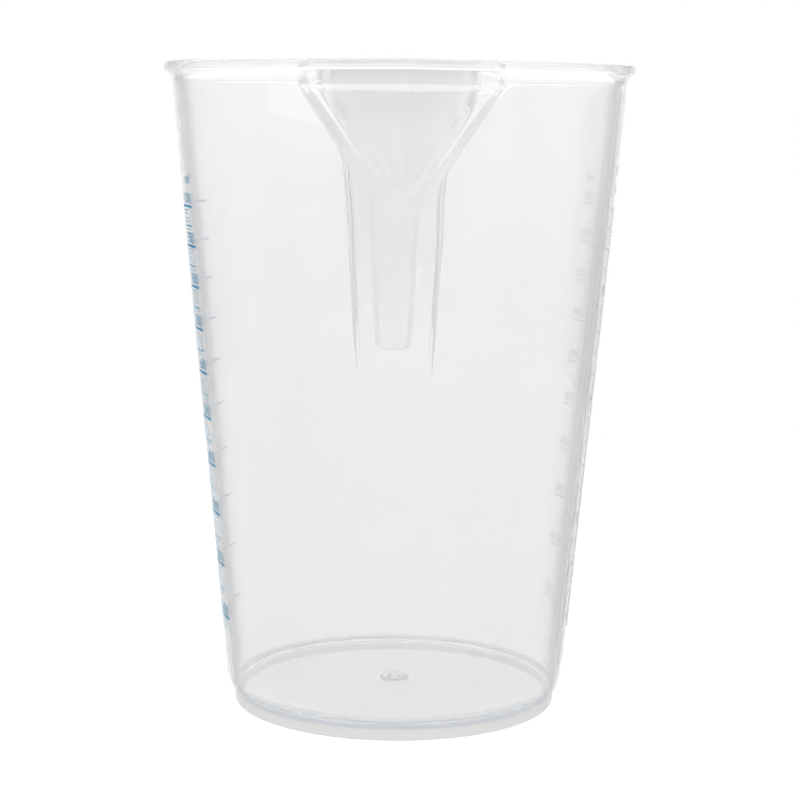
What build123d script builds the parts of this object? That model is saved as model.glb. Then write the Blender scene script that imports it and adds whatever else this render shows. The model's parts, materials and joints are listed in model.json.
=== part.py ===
"""Resin mixing cup: a one litre beaker with a pouring spout, a hook handle and two volume scales.

Millimetres and degrees, +Z up. The origin is on the cup's axis, on the table that the foot ring stands on.
The spout points to -Y and the handle to +Y. The printed scale is on the -X side, the raised one on +X.
The beaker is one moulding. Its regions are separate solids that meet face to face.
"""

import os
from math import cos, radians, sin, sqrt

from build123d import *

# Beaker
cup_height = 171.0
wall_top_radius = 60.0  # outside, at the height of the rim
wall_base_radius = 44.7  # outside, the same slope carried down to the table
wall = 1.4
floor_thickness = 2.1
floor_corner_radius = 2.0
base_curve_height = 8.0  # below this the wall curves in to the foot

# Foot ring
foot_inset = 1.4  # from the wall's base radius in to the foot
foot_height = 3.0
foot_width = 1.7
foot_chamfer = 0.4

# Lip and the concave collar under it
lip_height = 2.5
lip_overhang = 1.75
lip_top_round = 0.9
lip_under_chamfer = 0.3
lip_turn_round = 1.6  # in plan, where the lip turns out along the spout and the handle root
collar_height = 3.2
collar_width = 1.15

# Spout
spout_reach = 15.0  # from the wall's top radius to the nose
spout_depth = 36.2  # from the rim down to where the nose leaves the wall
spout_half_width = 23.7  # at the shoulders
spout_tip_setback = 16.4  # how far the sides fall back over the same width, level with the tip
nose_half_width = 1.8
spout_wall = 1.5

# Handle root, a hollow bulge of the wall that opens into the beaker
root_reach = 10.0  # from the wall's top radius
root_depth = 90.4  # from the rim down to where it fades into the wall
root_end_half_width = 11.2
root_neck_half_width = 15.2
root_neck_depth = 25.0
root_flare_half_width = 22.5
root_wall = 1.4

# Handle grip, a tray of U section that is open towards the beaker
grip_reach = 36.0  # from the wall's top radius to the outer face
grip_lean = 2.6  # how far its lower end stands back towards the wall
grip_depth = 85.5
grip_end_half_width = 5.6
grip_neck_half_width = 8.2
grip_neck_depth = 38.0
grip_flare_half_width = 22.0
grip_shoulder_half_width = 15.5  # in plan, at the outer face
grip_flange = 10.5
grip_wall = 1.4
grip_shoulder_radius = 11.0
grip_end_round = 1.6
grip_edge_round = 2.2  # along the outer face
finger_arch_depth = 15.0
finger_arch_radius = 6.0
flare_depth = 10.5  # where root and grip reach their full width
flare_round = 6.0

# Gate mark in the middle of the floor: a recess below with the cut sprue in it, and a low swelling above
gate_radius = 3.7
gate_recess_depth = 1.3
gate_swelling = 1.2
gate_taper = 35.0
gate_stub_radius = 1.2

# Scales: heights follow the volume, angles are counted from the cup's side towards the handle
full_mark_height = 133.8  # the litre line
zero_mark_height = 9.4  # where the steps of the scale count from
small_steps = 100  # from zero to the full mark
mid_step = 5
major_step = 10

# Printed marks
ink_thickness = 0.12
ink_mid_width = 0.38
ink_major_width = 0.55
ink_mid_angles = (-18.5, 14.0)
ink_major_angles = (-20.2, 17.5)

# Raised marks and the panel that they stand on
panel_thickness = 0.16
panel_bottom = 12.5
panel_top_gap = 1.5
panel_angles = (-18.3, 24.8)
ridge_thickness = 0.34
ridge_mid_width = 0.42
ridge_major_width = 0.55
ridge_mid_angles = (-14.0, 17.0)
ridge_major_angles = (-14.0, 21.0)

overrun = 3.0  # how far a cutting body runs past what it cuts

# Heights and radii that follow
slope = (wall_top_radius - wall_base_radius) / cup_height
foot_radius = wall_base_radius - foot_inset
floor_top = foot_height + floor_thickness
lip_bottom = cup_height - lip_height
collar_bottom = lip_bottom - collar_height
spout_tip = cup_height - spout_depth
root_end = cup_height - root_depth
root_radius = wall_top_radius + root_reach
grip_end = cup_height - grip_depth
grip_outer = wall_top_radius + grip_reach
flare_height = cup_height - flare_depth


def wall_outside(z):
    """Outer radius of the beaker's wall at a height."""
    return wall_base_radius + slope * z


def wall_inside(z):
    """Inner radius of the beaker's wall at a height."""
    return wall_outside(z) - wall


# The spout's shoulders lie on the wall, level with the bottom of the collar
spout_nose_y = -(wall_top_radius + spout_reach)
spout_top_setback = -spout_nose_y - sqrt(wall_outside(collar_bottom) ** 2 - spout_half_width**2)


def mark_height(mark):
    """Height that a share of the full volume fills the beaker to: the volume goes with the radius cubed."""
    zero = wall_inside(zero_mark_height) ** 3
    full = wall_inside(full_mark_height) ** 3
    radius = (zero + (full - zero) * mark / small_steps) ** (1 / 3)
    return (radius + wall - wall_base_radius) / slope


def inner_cone():
    """The room inside the beaker, carried on past the rim."""
    top = cup_height + overrun
    with BuildPart() as room:
        with BuildSketch(Plane.XZ):
            with BuildLine():
                Polyline(
                    (0, floor_top),
                    (wall_inside(floor_top), floor_top),
                    (wall_inside(top), top),
                    (0, top),
                    close=True,
                )
            make_face()
        revolve(axis=Axis.Z)
    return room.part


def spout_outline(height, nose_y, setback, inset):
    """Plan outline of the spout: a blunt nose with straight sides that run back into the beaker."""
    side = spout_half_width - nose_half_width
    flank = side + 2 * overrun
    corner_y = nose_y + setback * flank / side
    with BuildSketch(Plane.XY.offset(height)) as outline:
        with BuildLine():
            Polyline(
                (nose_half_width, nose_y),
                (nose_half_width + flank, corner_y),
                (nose_half_width + flank, 0),
                (-nose_half_width - flank, 0),
                (-nose_half_width - flank, corner_y),
                (-nose_half_width, nose_y),
                close=True,
            )
        make_face()
        if inset:
            offset(amount=-inset, kind=Kind.INTERSECTION)
    return outline.sketch


def spout_body(inset, top):
    """The spout filled in: its outline slides out as it rises, then goes straight up beside the collar."""
    lean = (wall_outside(spout_tip) + spout_nose_y) / (collar_bottom - spout_tip)
    start = spout_tip - 2 * overrun
    start_y = spout_nose_y - lean * (collar_bottom - start)
    with BuildPart() as body:
        add(spout_outline(start, start_y, spout_tip_setback, inset))
        add(spout_outline(collar_bottom, spout_nose_y, spout_top_setback, inset))
        loft(ruled=True)
        mouth = spout_outline(collar_bottom, spout_nose_y, spout_top_setback, inset)
        extrude(mouth, amount=top - collar_bottom)
    return body.part


def flared_outline(
    end_half_width, end_height, neck_half_width, neck_height, flare_half_width, end_round, inset
):
    """Front outline of the handle's root or grip: tapered sides that flare out to the rim."""
    half = [
        (end_half_width, end_height),
        (neck_half_width, neck_height),
        (flare_half_width, flare_height),
        (flare_half_width, cup_height + overrun),
    ]
    with BuildSketch(Plane.XZ) as outline:
        with BuildLine():
            Polyline(*half, *[(-x, z) for x, z in reversed(half)], close=True)
        make_face()
        rows = outline.vertices().group_by(Axis.Y)
        fillet(rows[1] + rows[2], radius=flare_round)
        if end_round:
            fillet(outline.vertices().group_by(Axis.Y)[0], radius=end_round)
        if inset:
            offset(amount=-inset, kind=Kind.INTERSECTION)
    return outline.sketch


def root_body(inset, top):
    """The handle's root filled in: a steeper cone that leaves the wall low down, cut to its front outline."""
    end_radius = wall_outside(root_end) - inset
    mouth_radius = root_radius - inset
    outline = flared_outline(
        root_end_half_width,
        root_end - overrun,
        root_neck_half_width,
        cup_height - root_neck_depth,
        root_flare_half_width,
        0,
        inset,
    )
    with BuildPart() as body:
        with BuildSketch(Plane.XZ):
            with BuildLine():
                Polyline(
                    (0, root_end),
                    (end_radius, root_end),
                    (mouth_radius, collar_bottom),
                    (mouth_radius, top),
                    (0, top),
                    close=True,
                )
            make_face()
        revolve(axis=Axis.Z)
        extrude(outline, amount=-root_radius, mode=Mode.INTERSECT)
    return body.part


def faces_out(face):
    """Whether a face of the grip looks up or away from the beaker rather than sideways."""
    normal = face.normal_at()
    return normal.Y + normal.Z > abs(normal.X)


def grip_body(inset):
    """The grip filled in: the overlap of its side, front and plan outlines, open inwards where it is inset."""
    opening = overrun if inset else 0
    outer = grip_outer - inset
    end = grip_end + inset
    flange_top = grip_outer - grip_flange - opening
    flange_end = flange_top - grip_lean
    arch = cup_height - finger_arch_depth - opening
    front = flared_outline(
        grip_end_half_width,
        grip_end,
        grip_neck_half_width,
        cup_height - grip_neck_depth,
        grip_flare_half_width,
        grip_end_round,
        inset,
    )
    with BuildPart() as body:
        with BuildSketch(Plane.YZ) as side:
            with BuildLine():
                Polyline(
                    (wall_top_radius, cup_height - inset),
                    (outer, cup_height - inset),
                    (outer - grip_lean, end),
                    (flange_end, end),
                    (flange_top, arch),
                    (wall_top_radius, arch),
                    close=True,
                )
            make_face()
            shoulder = side.vertices().group_by(Axis.Y)[-1].sort_by(Axis.X)[-1]
            fillet(shoulder, radius=grip_shoulder_radius - inset)
            fillet(side.vertices().group_by(Axis.Y)[1].sort_by(Axis.X)[-1], radius=finger_arch_radius)
        extrude(amount=grip_flare_half_width, both=True)
        extrude(front, amount=-grip_outer, mode=Mode.INTERSECT)
        with BuildSketch(Plane.XY) as plan:
            with BuildLine():
                Polyline(
                    (-grip_flare_half_width, wall_top_radius),
                    (grip_flare_half_width, wall_top_radius),
                    (grip_shoulder_half_width, grip_outer),
                    (-grip_shoulder_half_width, grip_outer),
                    close=True,
                )
            make_face()
            if inset:
                offset(amount=-inset, kind=Kind.INTERSECTION)
        extrude(amount=cup_height, mode=Mode.INTERSECT)
        if not inset:
            crest = body.faces().filter_by(faces_out)
            fillet(crest.edges().filter_by(Axis.X, reverse=True), radius=grip_edge_round)
    return body.part


def lip_outline():
    """Plan outline of the lip: the wall's circle, the spout and the handle's root, set out by the overhang."""
    with BuildSketch(Plane.XY) as mouth:
        Circle(root_radius)
        with Locations((0, root_radius / 2)):
            Rectangle(2 * root_flare_half_width, root_radius, mode=Mode.INTERSECT)
    with BuildSketch(Plane.XY.offset(lip_bottom)) as outline:
        Circle(wall_top_radius)
        add(spout_outline(0, spout_nose_y, spout_top_setback, 0))
        add(mouth.sketch)
        offset(amount=lip_overhang)
        turns = outline.vertices().filter_by(lambda v: abs(v.X) < wall_top_radius / 2)
        fillet(turns.sort_by(lambda v: v.X**2 + v.Y**2)[:4], radius=lip_turn_round)
    return outline.sketch


def wall_bands(bands, standoff, thickness, angles):
    """Thin bands on the wall, each between two heights, and between two angles counted from the +X side."""
    start = radians(angles[0])
    upright = Plane(origin=(0, 0, 0), x_dir=(cos(start), sin(start), 0), z_dir=(sin(start), -cos(start), 0))
    with BuildPart() as rows:
        with BuildSketch(upright):
            for low, high in bands:
                with BuildLine():
                    Polyline(
                        (wall_outside(low) + standoff, low),
                        (wall_outside(low) + standoff + thickness, low),
                        (wall_outside(high) + standoff + thickness, high),
                        (wall_outside(high) + standoff, high),
                        close=True,
                    )
                make_face()
        revolve(axis=Axis.Z, revolution_arc=angles[1] - angles[0])
    return rows.part


def mark_rows(marks, width, standoff, thickness, angles):
    """Thin ribs on the wall, one at each mark's height."""
    bands = [(mark_height(mark) - width / 2, mark_height(mark) + width / 2) for mark in marks]
    return wall_bands(bands, standoff, thickness, angles)


def opposite(angles):
    """The same angles on the -X side, still counted towards the handle there."""
    return (180 - angles[1], 180 - angles[0])


with BuildPart() as foot_ring:
    with BuildSketch(Plane.XY):
        Circle(foot_radius)
        Circle(foot_radius - foot_width, mode=Mode.SUBTRACT)
    extrude(amount=foot_height)
    chamfer(foot_ring.edges().group_by(Axis.Z)[0], length=foot_chamfer)

# The wall takes in the corner to the floor
floor_radius = wall_inside(floor_top) - floor_corner_radius
with BuildPart() as cup_floor:
    with BuildSketch(Plane.XY.offset(foot_height)):
        Circle(floor_radius)
    extrude(amount=floor_thickness)
    with BuildSketch(Plane.XY.offset(floor_top)):
        Circle(gate_radius)
    extrude(amount=gate_swelling, taper=gate_taper)
    with BuildSketch(Plane.XY.offset(foot_height)):
        Circle(gate_radius)
        Circle(gate_stub_radius, mode=Mode.SUBTRACT)
    extrude(amount=gate_recess_depth, taper=gate_taper / 2, mode=Mode.SUBTRACT)

with BuildPart() as cup_wall:
    with BuildSketch(Plane.XZ) as section:
        with BuildLine():
            start = (wall_outside(base_curve_height), base_curve_height)
            TangentArc(start, (foot_radius, foot_height), tangent=(-slope, -1))
            Polyline(
                (foot_radius, foot_height),
                (floor_radius, foot_height),
                (floor_radius, floor_top),
                (wall_inside(floor_top), floor_top),
                (wall_inside(collar_bottom), collar_bottom),
                (wall_outside(collar_bottom), collar_bottom),
                start,
            )
        make_face()
        corner = section.vertices().group_by(Axis.Y)[1].sort_by(Axis.X)[-1]
        fillet(corner, radius=floor_corner_radius)
    revolve(axis=Axis.Z)
    add(spout_body(0, cup_height), mode=Mode.SUBTRACT)
    add(root_body(0, cup_height), mode=Mode.SUBTRACT)

with BuildPart() as pour_spout:
    add(spout_body(0, lip_bottom))
    add(spout_body(spout_wall, cup_height), mode=Mode.SUBTRACT)
    add(inner_cone(), mode=Mode.SUBTRACT)

with BuildPart() as handle_root:
    add(root_body(0, lip_bottom))
    add(root_body(root_wall, cup_height), mode=Mode.SUBTRACT)
    add(inner_cone(), mode=Mode.SUBTRACT)

with BuildPart() as rim_collar:
    with BuildSketch(Plane.XZ):
        with BuildLine():
            foot = (wall_outside(collar_bottom), collar_bottom)
            edge = (wall_outside(lip_bottom) + collar_width, lip_bottom)
            TangentArc(foot, edge, tangent=(slope, 1))
            Polyline(
                edge,
                (wall_inside(lip_bottom), lip_bottom),
                (wall_inside(collar_bottom), collar_bottom),
                foot,
            )
        make_face()
    revolve(axis=Axis.Z)
    add(spout_body(0, cup_height), mode=Mode.SUBTRACT)
    add(root_body(0, cup_height), mode=Mode.SUBTRACT)

with BuildPart() as rim_lip:
    extrude(lip_outline(), amount=lip_height)
    fillet(rim_lip.edges().group_by(Axis.Z)[-1], radius=lip_top_round)
    chamfer(rim_lip.edges().group_by(Axis.Z)[0], length=lip_under_chamfer)
    add(spout_body(spout_wall, cup_height), mode=Mode.SUBTRACT)
    add(root_body(root_wall, cup_height), mode=Mode.SUBTRACT)
    add(inner_cone(), mode=Mode.SUBTRACT)

with BuildPart() as handle_grip:
    add(grip_body(0))
    add(grip_body(grip_wall), mode=Mode.SUBTRACT)
    add(root_body(0, lip_bottom), mode=Mode.SUBTRACT)
    extrude(lip_outline(), amount=lip_height, mode=Mode.SUBTRACT)

mids = range(mid_step + major_step, small_steps, major_step)
majors = range(major_step, small_steps + major_step, major_step)

with BuildPart() as ink_mid_marks:
    add(mark_rows(mids, ink_mid_width, 0, ink_thickness, opposite(ink_mid_angles)))

with BuildPart() as ink_major_marks:
    add(mark_rows(majors, ink_major_width, 0, ink_thickness, opposite(ink_major_angles)))

with BuildPart() as scale_panel:
    panel_top = collar_bottom - panel_top_gap
    add(wall_bands([(panel_bottom, panel_top)], 0, panel_thickness, panel_angles))

with BuildPart() as raised_marks:
    add(mark_rows(mids, ridge_mid_width, panel_thickness, ridge_thickness, ridge_mid_angles))
    add(mark_rows(majors, ridge_major_width, panel_thickness, ridge_thickness, ridge_major_angles))

pieces = {
    "cup_wall": cup_wall,
    "cup_floor": cup_floor,
    "foot_ring": foot_ring,
    "rim_lip": rim_lip,
    "rim_collar": rim_collar,
    "pour_spout": pour_spout,
    "handle_root": handle_root,
    "handle_grip": handle_grip,
    "ink_mid_marks": ink_mid_marks,
    "ink_major_marks": ink_major_marks,
    "scale_panel": scale_panel,
    "raised_marks": raised_marks,
}
os.makedirs("parts", exist_ok=True)
for name, piece in pieces.items():
    piece.part.label = name
    export_step(piece.part, f"parts/{name}.step")
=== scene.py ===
"""Resin mixing cup, dressed for a studio picture.

A one litre beaker moulded in natural polypropylene, with a pouring spout, a hook handle, a printed scale and
a raised one. Lengths are metres. The spout points to -Y, the handle to +Y, and the cup stands on z = 0.
"""

import json
import math

import bmesh
import bpy
import numpy as np
from bpy.props import FloatProperty, IntProperty, PointerProperty, StringProperty
from bpy.types import Operator, Panel, PropertyGroup
from mathutils import Matrix, Vector


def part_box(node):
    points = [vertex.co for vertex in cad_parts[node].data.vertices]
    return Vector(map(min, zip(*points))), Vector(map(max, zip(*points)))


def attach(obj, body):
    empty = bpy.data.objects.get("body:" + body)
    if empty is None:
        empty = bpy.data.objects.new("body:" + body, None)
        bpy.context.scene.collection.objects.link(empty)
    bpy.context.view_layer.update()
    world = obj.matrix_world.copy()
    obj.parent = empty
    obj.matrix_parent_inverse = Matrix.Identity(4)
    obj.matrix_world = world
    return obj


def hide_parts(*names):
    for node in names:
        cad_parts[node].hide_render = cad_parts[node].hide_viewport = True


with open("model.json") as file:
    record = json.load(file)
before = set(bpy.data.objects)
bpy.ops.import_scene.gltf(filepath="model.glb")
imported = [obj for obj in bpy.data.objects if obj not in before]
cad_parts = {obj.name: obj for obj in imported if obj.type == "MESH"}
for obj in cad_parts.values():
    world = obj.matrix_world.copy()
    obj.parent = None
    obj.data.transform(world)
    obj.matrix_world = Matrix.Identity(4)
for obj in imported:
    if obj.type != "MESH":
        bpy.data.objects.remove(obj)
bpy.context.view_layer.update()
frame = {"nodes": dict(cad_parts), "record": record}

bl_info = {
    "name": "Resin mixing cup",
    "version": (1, 0, 0),
    "blender": (4, 5, 0),
    "location": "View3D > Sidebar > Mixing Cup",
    "description": "Builds a translucent one litre mixing cup with its two scales and a plain studio",
    "category": "Add Mesh",
}

MM = 0.001

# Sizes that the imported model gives
CUP_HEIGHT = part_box("rim_lip")[1][2]
LIP_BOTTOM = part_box("rim_lip")[0][2]
COLLAR_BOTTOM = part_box("rim_collar")[0][2]
FOOT_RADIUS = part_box("foot_ring")[1][0]
FOOT_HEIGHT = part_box("foot_ring")[1][2]
GATE_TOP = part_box("cup_floor")[1][2]
ROOT_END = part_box("handle_root")[0][2]
ROOT_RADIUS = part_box("handle_root")[1][1]
ROOT_FLARE_HALF_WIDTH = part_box("handle_root")[1][0]
GRIP_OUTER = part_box("handle_grip")[1][1]
GRIP_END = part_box("handle_grip")[0][2]
GRIP_HALF_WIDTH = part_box("handle_grip")[1][0]
SPOUT_MIDDLE = [(low + high) / 2 for low, high in zip(*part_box("pour_spout"))]

# Where the look of the plastic changes
SPOUT_NEAR, SPOUT_FAR = 18 * MM, 30 * MM  # distances from the spout's middle, for its waves
PROUD_LOW, PROUD_HIGH = 1 * MM, 5 * MM  # distances past the wall's cone
FOOT_TOP, BODY_BOTTOM = 4.4 * MM, 6.2 * MM  # heights
# Above the foot the veil turns to the bluish grey of painted shade along the floor's edge
FOOT_LINE = 0.2 * MM  # height over which the foot's colour changes to the floor edge's
FLOOR_EDGE = 3 * MM  # width of the floor's edge, inwards from the foot's outside
GATE_NEAR, GATE_FAR = 5 * MM, 6 * MM  # distances from the origin, for the gate's veil
EDGE_START, EDGE_FULL = 0.76, 0.9  # Layer Weight's facing, from face on at 0 to edge on at 1
# The painted limb shade shows in full where the normal's upward part is below the first, and not at all above
# the second
UPRIGHT, LYING = 0.3, 0.7  # upward part of the normal
# How much painted grey shade shows at each facing: a dark band painted just inside the outline
PAINTED_LIMB_SHADE = ((0, 0), (0.5, 0), (0.58, 0.1), (0.67, 0.5), (0.745, 1), (0.81, 0.6), (0.87, 0.15), (1, 0))

# Studio: lamps as name, place, width and watts, and the camera that the photograph's outline gives
LAMPS = (
    ("key_lamp", (-0.9, -1.0, 1.3), 1.4, 12.0),
    ("fill_lamp", (1.1, -0.7, 0.9), 1.2, 7.0),
    ("back_lamp", (0.2, 1.3, 1.1), 1.4, 8.0),
)
LAMP_TARGET = (0, 0, 0.08)
CAMERA_LENS, CAMERA_SENSOR, CAMERA_SHIFT = 95.0, 36.0, 0.0044
CAMERA_DISTANCE, CAMERA_ASIDE, CAMERA_HEIGHT = 0.5626, -0.0079, 0.1612
CAMERA_DIP, CAMERA_ROLL = math.radians(8.06), 0.0093
PAPER_RADIUS, PAPER_GLOW = 0.45, 0.85
SCREENS, GAP_LEVEL, CEILING_LEVEL = 8.0, 0.8, 0.9  # number of screens, brightness of gaps and ceiling
SCREEN_EDGE, CEILING_EDGE = (-0.9, 0.3), (0.25, 0.7)  # where each fades, as cosine and as height

# Settings that many nodes share. A Mix node of colours takes its share at input 0 and its two colours at
# inputs 6 and 7, and gives the mixed colour at output 2.
MULTIPLY, LARGER, LENGTH = {"operation": "MULTIPLY"}, {"operation": "MAXIMUM"}, {"operation": "LENGTH"}
COLOURS, SMOOTH = {"data_type": "RGBA"}, {"interpolation_type": "SMOOTHSTEP"}
HALF = {0: 0.5}
SHARP = math.radians(40)  # edges that turn more stay sharp
FLARE = 2.2  # power of the height by which the collar flares out
CAPITAL_HEIGHT, THINNER = 0.73, 0.012  # the typeface's numerals, and how much slimmer they are drawn
UNIT_RISE = 1.75  # from the litre line's numeral up to the unit, in numeral heights
SPOUT_SECTOR, ROOT_SECTOR = math.radians(38), math.radians(50)  # angles that hold the spout and the root
WHITE = (1, 1, 1, 1)


def length(name, description, default):
    """A length for a property group, given in millimetres."""
    words = {"name": name, "description": description}
    return FloatProperty(**words, default=default * MM, min=0.0, unit="LENGTH", precision=5)


def portion(name, description, default):
    """A share from 0 to 1 for a property group."""
    return FloatProperty(name=name, description=description, default=default, min=0.0, max=1.0)


def degrees(name, description, default):
    """An angle for a property group, given in degrees."""
    return FloatProperty(name=name, description=description, default=math.radians(default), subtype="ANGLE")


class BeakerSizes(PropertyGroup):
    """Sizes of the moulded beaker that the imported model's boxes don't give."""

    wall_top_radius: length("Top radius", "Outside of the wall at the rim", 60.0)
    wall_base_radius: length("Base radius", "Outside of the wall, carried down to the table", 44.7)
    wall: length("Wall", "Thickness of the wall", 1.4)
    floor: length("Floor", "Thickness of the floor", 2.1)
    corner: length("Floor corner", "Round between floor and wall", 1.0)
    base_curve: length("Base curve", "Height below which the wall curves in to the foot", 8.0)
    foot_width: length("Foot width", "Width of the ring that the cup stands on", 1.7)
    foot_round: length("Foot round", "Round at the bottom of the foot", 0.5)
    collar_width: length("Collar width", "How far the collar flares out to the lip", 1.15)
    lip_overhang: length("Lip overhang", "How far the lip stands out from the wall", 1.74)
    lip_top_round: length("Lip top round", "Round along the top of the lip", 0.9)
    lip_under_round: length("Lip under round", "Round along the underside of the lip", 0.3)
    lip_inner_round: length("Lip inner round", "Round along the inside of the lip", 0.35)
    gate: length("Gate", "Radius of the recess round the gate and of the swelling over it", 3.7)
    gate_depth: length("Gate depth", "Depth of the recess round the gate", 1.3)
    gate_swelling: length("Gate swelling", "Height of the swelling over the gate", 1.2)
    gate_stub: length("Gate stub", "Radius of the cut sprue", 1.2)


class SpoutSizes(PropertyGroup):
    """Sizes of the pouring spout."""

    nose: length("Nose", "Distance of the nose from the axis", 75.0)
    tip: length("Tip", "Height where the nose leaves the wall", 134.8)
    half_width: length("Half width", "Half of the width at the shoulders", 23.7)
    tip_setback: length("Tip setback", "How far the sides fall back, level with the tip", 16.4)
    nose_half_width: length("Nose half width", "Half of the width of the blunt nose", 1.8)
    wall: length("Spout wall", "Thickness of the spout", 1.5)
    nose_round: length("Nose round", "Blend where the sides meet the nose", 1.4)
    edge_blend: length("Edge blend", "Blend where the spout leaves the wall, inside", 0.35)
    edge_fillet: length("Edge fillet", "Fillet where the spout leaves the wall, outside", 1.1)


class HandleSizes(PropertyGroup):
    """Sizes of the handle's root and grip."""

    root_end_half_width: length("Root end", "Half width where the root fades into the wall", 11.2)
    root_neck_half_width: length("Root neck", "Half width where the root starts to flare", 15.2)
    root_neck: length("Root neck height", "Height where the root starts to flare", 146.0)
    flare: length("Flare height", "Height where root and grip reach their full width", 160.5)
    root_blend: length("Root blend", "Blend where the root leaves the wall", 2.4)
    root_corner: length("Root corner", "Round between the root's sides and its back", 2.0)
    grip_end_half_width: length("Grip end", "Half width of the grip's lower end", 5.6)
    grip_neck_half_width: length("Grip neck", "Half width where the grip starts to flare", 8.2)
    grip_neck: length("Grip neck height", "Height where the grip starts to flare", 133.0)
    grip_lean: length("Grip lean", "How far the lower end stands back", 2.6)
    grip_flange: length("Grip flange", "Depth of the grip's side flanges", 10.5)
    grip_arch: length("Grip arch", "Depth of the flanges over the finger gap", 15.0)
    grip_wall: length("Grip wall", "Thickness of the grip", 1.4)
    grip_shoulder: length("Grip shoulder", "Round over the grip's shoulder", 11.0)
    grip_shoulder_half_width: length("Shoulder half width", "Half width at the outer face", 15.5)
    grip_edge: length("Grip edge", "Round along the grip's outer edges", 2.2)
    grip_arch_round: length("Arch round", "Round inside the hook's corner", 6.0)
    grip_end_round: length("End round", "Round at the grip's lower corners", 1.6)
    root_reach: length("Root reach", "From the wall's top radius to the root's back", 10.0)


class ScaleSizes(PropertyGroup):
    """Sizes of both scales, and of the printed one. Angles count from the cup's side to the handle."""

    full_mark: length("Full mark", "Height of the litre line", 133.8)
    zero_mark: length("Zero mark", "Height that the steps of the scale count from", 9.4)
    steps: IntProperty(name="Steps", description="Small steps up to the litre line", default=100)
    first: IntProperty(name="First step", description="Lowest step that has a mark", default=8)
    sunk: length("Sunk", "How deep marks reach into the wall, for a sound joint", 0.03)
    ink: length("Ink", "Height of the ink film", 0.02)
    ink_small: length("Small mark", "Width of the small marks", 0.18)
    ink_middle: length("Middle mark", "Width of the middle marks", 0.3)
    ink_large: length("Large mark", "Width of the numbered marks", 0.55)
    small_front: degrees("Small front", "Front end of the small marks", -16.0)
    small_back: degrees("Small back", "Back end of the small marks", 12.0)
    middle_front: degrees("Middle front", "Front end of the middle marks", -18.5)
    middle_back: degrees("Middle back", "Back end of the middle marks", 14.0)
    large_front: degrees("Large front", "Front end of the numbered marks", -20.2)
    large_back: degrees("Large back", "Back end of the numbered marks", 17.5)
    numeral: length("Numeral", "Height of the numerals", 2.9)
    numeral_stretch: FloatProperty(name="Stretch", description="Widening of the numerals", default=1.3)
    numeral_gap: length("Numeral gap", "From a numbered mark up to its numeral", 0.55)


class RaisedSizes(PropertyGroup):
    """Sizes of the raised scale and of the panel that it stands on."""

    panel: length("Panel", "How far the panel stands out from the wall", 0.16)
    panel_front: degrees("Panel front", "Front edge of the panel", -18.3)
    panel_back: degrees("Panel back", "Back edge of the panel", 24.8)
    ridge: length("Ridge", "How far the marks stand out from the panel", 0.34)
    ridge_small: length("Small ridge", "Width of the small and middle marks", 0.42)
    ridge_large: length("Large ridge", "Width of the numbered marks", 0.55)
    small_front: degrees("Small front", "Front end of the small marks", -10.0)
    small_back: degrees("Small back", "Back end of the small marks", 14.5)
    middle_front: degrees("Middle front", "Front end of the middle marks", -14.0)
    middle_back: degrees("Middle back", "Back end of the middle marks", 17.0)
    large_back: degrees("Large back", "Back end of the numbered marks", 21.0)
    fraction: length("Fraction", "Height of the litre fractions", 2.8)
    fraction_front: degrees("Fraction front", "Front end of the litre fractions", -9.0)


class CupColours(PropertyGroup):
    """Colours as sRGB hex values."""

    plastic: StringProperty(name="Plastic", description="Natural polypropylene", default="#FDFDFD")
    milk: StringProperty(name="Milk", description="Light scattered in the plastic", default="#F9FAFB")
    foot: StringProperty(name="Foot", description="The milky look of the thick foot", default="#E9E9E8")
    # A bluish grey of painted shade, which the veil takes along the floor's edge
    floor_edge: StringProperty(name="Floor edge", description="Along the floor's edge", default="#E0E3E8")
    # Depth is a grey of painted shade: it darkens the clear plastic in a band inside the outline of upright
    # walls, and on the spout and the root
    depth: StringProperty(name="Depth", description="Tint of a long way through", default="#A0A1A3")
    ink: StringProperty(name="Ink", description="Printed scale", default="#2BA0C6")
    floor: StringProperty(name="Floor", description="Studio floor", default="#7C7C7C")


class PlasticLooks(PropertyGroup):
    """How the polypropylene bends and scatters light."""

    ior: FloatProperty(name="IOR", description="Polypropylene", default=1.49, min=1.0)
    skin_ior: FloatProperty(name="Skin IOR", description="Skin of the same plastic", default=1.05, min=1.0)
    roughness: portion("Roughness", "Roughness of the smooth mould", 0.02)
    body_veil: portion("Body veil", "Scattered share in the beaker's walls", 0.2)
    handle_veil: portion("Handle veil", "Scattered share in the hook handle", 0.15)
    skin_veil: portion("Skin veil", "Scattered share in the raised scale's panel", 0.04)
    mark_veil: portion("Mark veil", "Scattered share in the textured raised marks", 0.6)
    foot_veil: portion("Foot veil", "Scattered share in the thick foot", 0.85)
    gate_veil: portion("Gate veil", "Scattered share over the gate", 0.45)
    edge_veil: portion("Edge veil", "Scattered share where a wall is seen along its length", 0.8)
    # The proud share also paints grey shade on the spout and the root, besides thickening their veil
    proud: portion("Proud share", "More tint and veil where spout and root stand past the cone", 0.14)
    flow: length("Flow", "Size of the waves that the plastic's flow leaves", 14)
    wave: length("Wave", "Full height of the waves", 0.5)
    spout_waves: portion("Spout waves", "Share of the full height in the spout", 0.9)
    wall_waves: portion("Wall waves", "Share of the full height elsewhere", 0.015)


def linear(colour):
    """sRGB hex to linear RGBA."""
    value = np.array([int(colour[i : i + 2], 16) for i in (1, 3, 5)]) / 255
    value = np.where(value <= 0.04045, value / 12.92, ((value + 0.055) / 1.055) ** 2.4)
    return (*value.tolist(), 1.0)


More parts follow.
